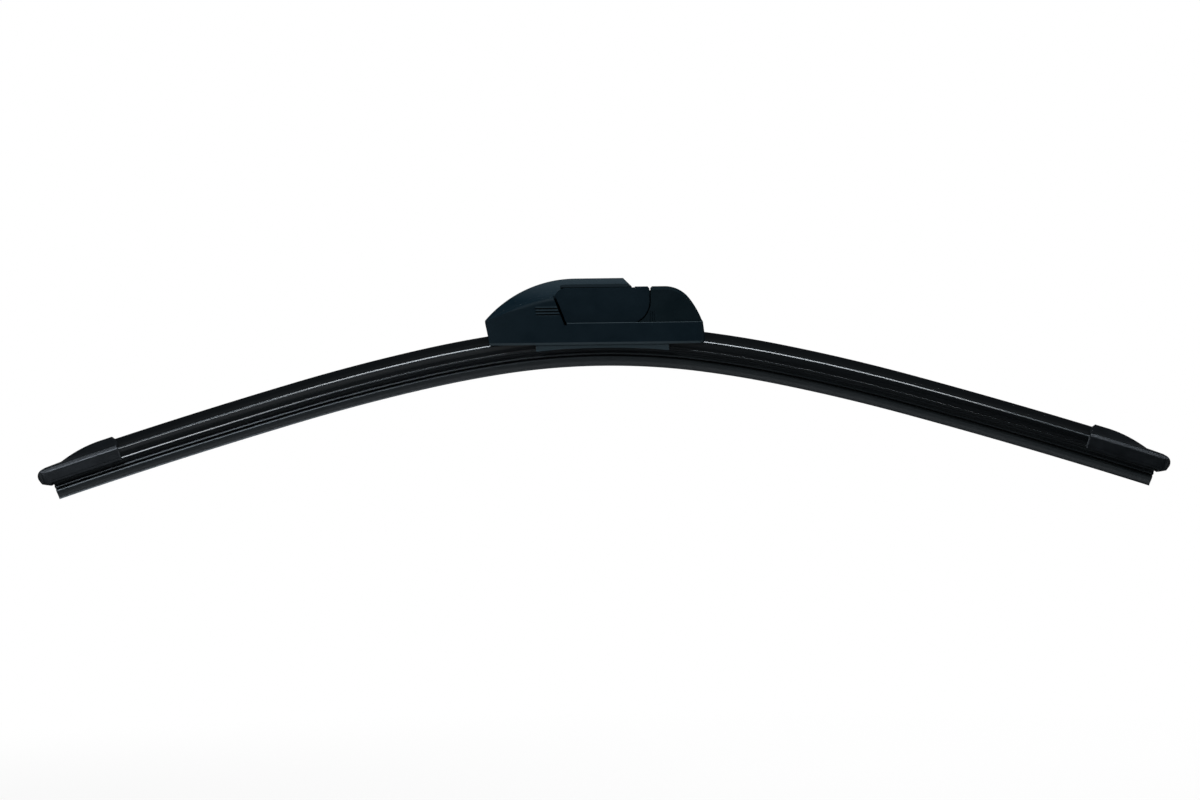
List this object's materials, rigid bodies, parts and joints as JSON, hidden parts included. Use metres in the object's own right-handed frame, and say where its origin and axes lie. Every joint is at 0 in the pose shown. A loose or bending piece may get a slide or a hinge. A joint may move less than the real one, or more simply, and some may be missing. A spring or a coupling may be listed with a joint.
{
  "type": "wiper blade",
  "caption": "Bowed flat windscreen wiper blade: rubber element on spring rails, spoilers, end caps and a central connector whose pivoting adapter takes a hook arm.",
  "frame": {"origin": "middle of the pivot pin's axis, where the arm's hook carries the adapter", "axes": "+X along the blade, +Y across it towards the ridge side, +Z away from the glass"},
  "size_m": [0.4864, 0.0194, 0.092],
  "materials": {
    "wiping_rubber": "matt black, graphite dusted",
    "spoiler_rubber": "satin black extrusion",
    "cap_plastic": "fine satin black",
    "connector_plastic": "fine spark-eroded black",
    "adapter_plastic": "fine spark-eroded black",
    "spring_steel": "bright rolled strip",
    "bracket_steel": "black coated pressed sheet",
    "pin_steel": "black oxide"
  },
  "bodies": {
    "adapter": {"hook_adapter": "adapter_plastic"},
    "blade": {"wiper_rubber": "wiping_rubber", "flexor_rail_far": "spring_steel", "flexor_rail_near": "spring_steel", "spoiler_left": "spoiler_rubber", "spoiler_right": "spoiler_rubber", "end_cap_left": "cap_plastic", "end_cap_right": "cap_plastic", "saddle_bracket": "bracket_steel", "pivot_pin": "pin_steel", "connector_base": "connector_plastic", "fairing_cover": "connector_plastic", "nose_cap": "connector_plastic"}
  },
  "joints": [
    {"name": "blade_pivot", "type": "hinge", "parent": "adapter", "child": "blade", "pos_m": [0, 0, 0], "axis": [0, 1, 0], "range_deg": [-8, 8]}
  ]
}
